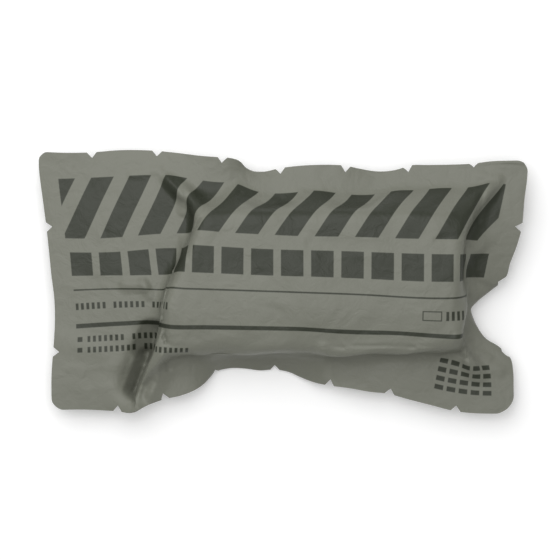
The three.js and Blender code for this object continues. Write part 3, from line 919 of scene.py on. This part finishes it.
GAUZE_COLOUR = (0.16, 0.165, 0.105)
GAUZE_LIGHT = (0.21, 0.215, 0.14)
GAUZE_ROUGHNESS = 0.92
GAUZE_RELIEF = (0.4, 0.0002)  # the bump's strength and its height in metres
THREADS_ALONG = 1400.0  # a metre
THREADS_ACROSS = 1120.0


def gauze_material():
    m = Nodes("wound_gauze")
    where = m.add("ShaderNodeTexCoord").outputs["Object"]
    split = m.add("ShaderNodeSeparateXYZ")
    m.link(where, split.inputs[0])
    along = m.math("SINE", m.math("MULTIPLY", split.outputs["X"], THREADS_ALONG * 2 * math.pi))
    across = m.math("SINE", m.math("MULTIPLY", split.outputs["Y"], THREADS_ACROSS * 2 * math.pi))
    weave = m.math("MULTIPLY_ADD", m.math("MULTIPLY", along, across), 0.5, 0.5)
    m.tree.links.new(m.mix(weave, GAUZE_COLOUR, GAUZE_LIGHT), m.shader.inputs["Base Color"])
    m.shader.inputs["Roughness"].default_value = GAUZE_ROUGHNESS
    m.tree.links.new(m.bump(weave, *GAUZE_RELIEF), m.shader.inputs["Normal"])
    return m.material


FILM_COLOUR = (0.157, 0.162, 0.131)
FILM_WORN = (0.174, 0.178, 0.146)
INK_COLOUR = (0.026, 0.030, 0.019)
FILM_ROUGHNESS = 0.5
FILM_SHEEN = 0.35  # the shader's specular level
# Noise on the film, as scale, detail, roughness and distortion: first its wear, then its relief,
# where the bump's strength and its height in metres follow
WEAR = (28, 3.0)
FILM_RELIEF = [
    ((1800, 1.0), 0.08, 0.0001), ((190, 3.0, 0.55, 0.8), 0.5, 0.0008),
    ((55, 2.0, 0.5, 0.4), 0.6, 0.0022),
]


def film_material(name, printed):
    m = Nodes(name)
    flat = m.add("ShaderNodeUVMap", uv_map=FLAT_MAP).outputs[0]
    split = m.add("ShaderNodeSeparateXYZ")
    m.link(flat, split.inputs[0])
    colour = m.mix(m.noise(flat, *WEAR), FILM_COLOUR, FILM_WORN)
    if printed:
        ink = print_mask(m, split.outputs["X"], split.outputs["Y"])
        colour = m.mix(ink, colour, INK_COLOUR)
    m.tree.links.new(colour, m.shader.inputs["Base Color"])
    m.shader.inputs["Roughness"].default_value = FILM_ROUGHNESS
    m.shader.inputs["Specular IOR Level"].default_value = FILM_SHEEN
    normal = None
    for noise, strength, height in FILM_RELIEF:
        normal = m.bump(m.noise(flat, *noise), strength, height, normal)
    m.tree.links.new(normal, m.shader.inputs["Normal"])
    return m.material


# The print, in pixels of the flat film from its upper left corner: areas as their (from, to) across
# and down, and the pitch and dark width of the bars that fill some of them
BAND = ((18, 486), (BAND_TOP, BAND_BOTTOM))
BAND_PITCH = 39.3
BAND_DARK = 23.0
BAND_LEAN = 0.6
BLOCKS = ((21.5, 485.5), (101.5, 128))
BLOCKS_PITCH = 29.47
BLOCKS_DARK = 22.0
PRINT_SOFT = 0.8
RULES = [((22, 462), (143.2, 144.9)), ((22.5, 442), (179.8, 184.2))]
SQUARES = [((24, 29), (193, 198)), ((24, 29), (204, 209))]
MARKS = [
    ((23, 55), (158.5, 165.5)), ((62, 94), (158.5, 165.5)), ((101, 144), (158.5, 165.5)),
    ((34, 72), (192.5, 198.5)), ((79, 128), (192.5, 198.5)),
    ((34, 83), (203.5, 209.5)), ((90, 167), (203.5, 209.5)), ((419, 439), (157.5, 166.5)),
]
MARK_PITCH = 5.6
MARK_DARK = 3.0
EMPTY_FRAME = ((396, 415), (157, 167))
FRAME_LINE = 1.0
PANEL_ROWS = 4
PANEL = [((426, 487), (219 + 9 * i, 224 + 9 * i)) for i in range(PANEL_ROWS)]
PANEL_PITCH = 12.6
PANEL_DARK = 9.0


def print_mask(m, u, v):
    """1 where the front film is printed: stripes, blocks, rules, small marks and an empty frame."""
    scale = 1 / (PIXEL * MM)
    across = m.math("MULTIPLY", u, scale)
    down = m.math("MULTIPLY_ADD", v, -scale, FILM_WIDTH)

    def block(area, inset=0.0):
        """A filled area, smaller by inset on each side."""
        (left, right), (top, bottom) = area
        return m.math("MULTIPLY", m.inside(across, left + inset, right - inset, PRINT_SOFT),
                      m.inside(down, top + inset, bottom - inset, PRINT_SOFT))

    def bars(area, pitch, dark, lean=None):
        """An area of upright bars that start at its left, or of leaning ones."""
        if lean is None:
            slant = m.math("SUBTRACT", across, area[0][0] + dark / 2)
        else:
            slant = m.math("MULTIPLY_ADD", down, lean, across)
        phase = m.math("PINGPONG", slant, pitch / 2)
        bar = m.math("MULTIPLY_ADD", phase, -1 / PRINT_SOFT, 0.5 + dark / 2 / PRINT_SOFT, clamp=True)
        return m.math("MULTIPLY", bar, block(area))

    masks = [bars(BAND, BAND_PITCH, BAND_DARK, BAND_LEAN), bars(BLOCKS, BLOCKS_PITCH, BLOCKS_DARK)]
    masks += [bars(area, MARK_PITCH, MARK_DARK) for area in MARKS]
    masks += [bars(area, PANEL_PITCH, PANEL_DARK) for area in PANEL]
    masks += [block(area) for area in RULES + SQUARES]
    masks.append(m.math("SUBTRACT", block(EMPTY_FRAME), block(EMPTY_FRAME, FRAME_LINE), clamp=True))
    total = masks[0]
    for mask in masks[1:]:
        total = m.math("MAXIMUM", total, mask)
    return total


# Pieces

FRONT_POINTS = (304, 158)
BACK_POINTS = (206, 107)

front_points = creased(drawn_front())
back_points = drawn_back(front_points)

front = film_piece("front_laminate", front_points, *FRONT_POINTS, True)
back = film_piece("back_laminate", back_points, *BACK_POINTS, False)
front.data.materials.append(film_material("printed_film", True))
back.data.materials.append(film_material("plain_film", False))
for piece, node in ((front, "front_film"), (back, "back_film")):
    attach(piece, "root")
    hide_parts(node)

roll = add_roll()
roll.data.materials.append(gauze_material())
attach(roll, "root")
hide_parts("bandage_roll")


# Camera, light and floor

CAMERA_HEIGHT = 1.6
SENSOR = 36.0
PHOTO_SIZE = 560
KEY = {"location": (-0.14, 0.27, 0.45), "size": 0.6, "power": 1.75}
OVERHEAD = {"location": (0, 0, 1.4), "size": 1.2, "power": 7}
SKY_LIGHT = 0.38
FLOOR_SIZE = 6.0
FLOOR_GAP = 0.0003  # of the floor below the level that the pouch lies on
FLOOR_COLOUR = (0.95, 0.95, 0.95, 1)
FLOOR_ROUGHNESS = 0.9
FLOOR_GLOW = 0.13  # of the lit table that the pouch lies on, which keeps its shadow faint


def add_camera():
    data = bpy.data.cameras.new("camera")
    camera = bpy.data.objects.new("camera", data)
    bpy.context.scene.collection.objects.link(camera)
    seen = PHOTO_SIZE * PIXEL * MM
    height = CAMERA_HEIGHT - ROLL_FACE * MM / 2
    data.sensor_width = SENSOR
    data.lens = SENSOR * height / seen
    middle = Vector((*place(PHOTO_SIZE / 2, PHOTO_SIZE / 2), 0)) * MM
    camera.location = (middle.x, middle.y, CAMERA_HEIGHT)
    camera.rotation_euler = (0, 0, 0)
    bpy.context.scene.camera = camera


def add_area(name, location, size, power):
    """A round light that points at the pouch."""
    data = bpy.data.lights.new(name, "AREA")
    data.shape = "DISK"
    data.size, data.energy = size, power
    light = bpy.data.objects.new(name, data)
    bpy.context.scene.collection.objects.link(light)
    light.location = location
    aim = Vector((0, 0, 0)) - Vector(location)
    light.rotation_euler = aim.to_track_quat("-Z", "Y").to_euler()


def add_floor():
    bpy.ops.mesh.primitive_plane_add(size=FLOOR_SIZE, location=(0, 0, -FLOOR_GAP))
    floor = bpy.context.object
    floor.name = "floor"
    m = Nodes("floor")
    m.shader.inputs["Base Color"].default_value = FLOOR_COLOUR
    m.shader.inputs["Roughness"].default_value = FLOOR_ROUGHNESS
    m.shader.inputs["Emission Color"].default_value = (1, 1, 1, 1)
    m.shader.inputs["Emission Strength"].default_value = FLOOR_GLOW
    floor.data.materials.append(m.material)


def add_sky():
    world = bpy.data.worlds.new("world")
    bpy.context.scene.world = world
    world.use_nodes = True
    background = world.node_tree.nodes["Background"]
    background.inputs["Color"].default_value = (1, 1, 1, 1)
    background.inputs["Strength"].default_value = SKY_LIGHT


add_camera()
add_area("key", **KEY)
add_area("overhead", **OVERHEAD)
add_floor()
add_sky()
bpy.context.scene.view_settings.view_transform = "Standard"
